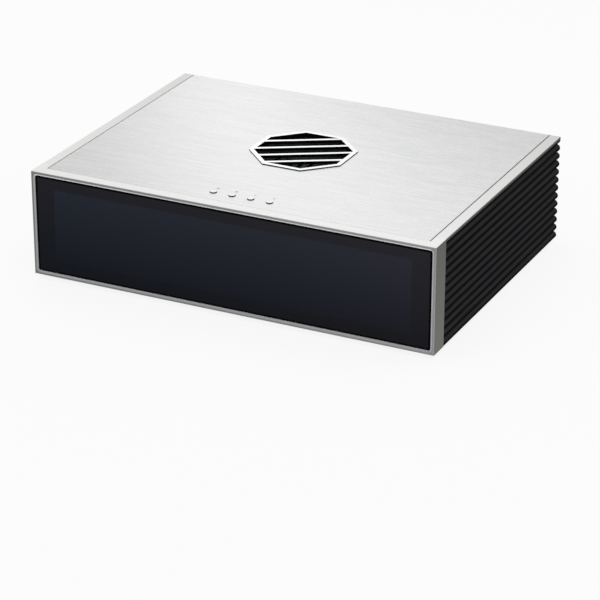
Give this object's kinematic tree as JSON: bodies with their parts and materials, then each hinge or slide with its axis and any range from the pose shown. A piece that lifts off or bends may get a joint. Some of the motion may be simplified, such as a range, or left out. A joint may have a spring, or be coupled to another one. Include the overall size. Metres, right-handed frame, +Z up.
{
  "type": "network music streamer",
  "caption": "Full-width home-audio streamer: silver frame round a dark glass touch display, brushed top with a vent and buttons, black ribbed sides and a rear panel of sockets.",
  "frame": {"origin": "on the ground under the middle of the case, level with the underside of the rubber feet", "axes": "+X to the right as seen from the front, along the width; +Y to the rear; +Z up. The front faces -Y."},
  "size_m": [0.43, 0.316, 0.1149],
  "materials": {
    "silver_anodised": "satin silver anodised",
    "silver_brushed": "silver anodised, brushed along the width",
    "silver_vent": "satin silver anodised",
    "button_metal": "turned and satin anodised",
    "black_anodised": "satin black anodised",
    "heatsink_black": "black anodised",
    "cover_glass": "polished, dark",
    "display_face": "polarising film, display off",
    "black_plastic": "fine-grained black",
    "black_foam": "foam tape",
    "black_steel": "textured black powder coat",
    "zinc_steel": "zinc plated",
    "black_screws": "blackened steel",
    "plain_aluminium": "milled",
    "foot_plastic": "moulded",
    "pad_rubber": "matt",
    "socket_metal": "nickel plated",
    "gold_plate": "plated",
    "white_plastic": "moulded",
    "winding_film": "amber film over copper",
    "soft_black": "soft rubber",
    "board_green": "solder mask",
    "sleeve_blue": "shrink sleeve",
    "cable_white": "flat cable"
  },
  "bodies": {
    "case": {"front_frame": "silver_anodised", "front_glass": "cover_glass", "glass_gasket": "black_foam", "lcd_panel": "display_face", "lcd_housing": "black_plastic", "display_tray": "zinc_steel", "display_board": "board_green", "display_cable": "cable_white", "top_plate": "silver_brushed", "left_rail": "silver_anodised", "right_rail": "silver_anodised", "vent_grille": "silver_vent", "vent_well": "black_plastic", "left_side_panel": "black_anodised", "right_side_panel": "black_anodised", "corner_brackets": "zinc_steel", "base_plate": "black_steel", "rear_panel": "black_steel", "rear_posts": "plain_aluminium", "switch_bodies": "black_plastic", "button_board": "board_green", "button_board_posts": "gold_plate", "feet": "foot_plastic", "foot_pads": "pad_rubber", "foot_screws": "black_screws", "case_screws": "black_screws", "mains_inlet": "black_plastic", "mains_pins": "gold_plate", "rocker_housing": "black_plastic", "xlr_shells": "socket_metal", "xlr_inserts": "black_plastic", "xlr_pins": "gold_plate", "phono_barrels": "gold_plate", "phono_insulators": "white_plastic", "optical_jacks": "black_plastic", "lan_jack": "socket_metal", "usb_jacks": "socket_metal", "hdmi_jack": "socket_metal", "transformer_winding": "winding_film", "transformer_pads": "soft_black", "transformer_clamp": "zinc_steel", "transformer_stud": "zinc_steel", "psu_board": "board_green", "psu_capacitors": "sleeve_blue", "psu_heatsink": "heatsink_black", "main_board": "board_green", "chips": "black_plastic", "processor_heatsink": "heatsink_black", "dac_board": "board_green", "audio_capacitors": "sleeve_blue", "board_pillars": "gold_plate", "board_screws": "zinc_steel"},
    "power_button": {"power_button": "button_metal"},
    "play_button": {"play_button": "button_metal"},
    "volume_down_button": {"volume_down_button": "button_metal"},
    "volume_up_button": {"volume_up_button": "button_metal"},
    "power_rocker": {"power_rocker": "black_plastic"},
    "optical_out_flap": {"optical_out_flap": "black_plastic"},
    "optical_in_flap": {"optical_in_flap": "black_plastic"}
  },
  "joints": [
    {"name": "power_button_press", "type": "slide", "parent": "case", "child": "power_button", "axis": [0, 0, -1], "range_m": [0, 0.0004], "stiffness_N_per_m": 2000},
    {"name": "play_button_press", "type": "slide", "parent": "case", "child": "play_button", "axis": [0, 0, -1], "range_m": [0, 0.0004], "stiffness_N_per_m": 2000},
    {"name": "volume_down_button_press", "type": "slide", "parent": "case", "child": "volume_down_button", "axis": [0, 0, -1], "range_m": [0, 0.0004], "stiffness_N_per_m": 2000},
    {"name": "volume_up_button_press", "type": "slide", "parent": "case", "child": "volume_up_button", "axis": [0, 0, -1], "range_m": [0, 0.0004], "stiffness_N_per_m": 2000},
    {"name": "rocker_tilt", "type": "hinge", "parent": "case", "child": "power_rocker", "pos_m": [-0.171, 0.145, 0.075], "axis": [1, 0, 0], "range_deg": [0, 20]},
    {"name": "optical_out_flap_swing", "type": "hinge", "parent": "case", "child": "optical_out_flap", "pos_m": [0.089, 0.1466, 0.0699], "axis": [-1, 0, 0], "range_deg": [0, 80], "stiffness_Nm_per_rad": 0.0001},
    {"name": "optical_in_flap_swing", "type": "hinge", "parent": "case", "child": "optical_in_flap", "pos_m": [0.071, 0.1466, 0.0699], "axis": [-1, 0, 0], "range_deg": [0, 80], "stiffness_Nm_per_rad": 0.0001}
  ]
}
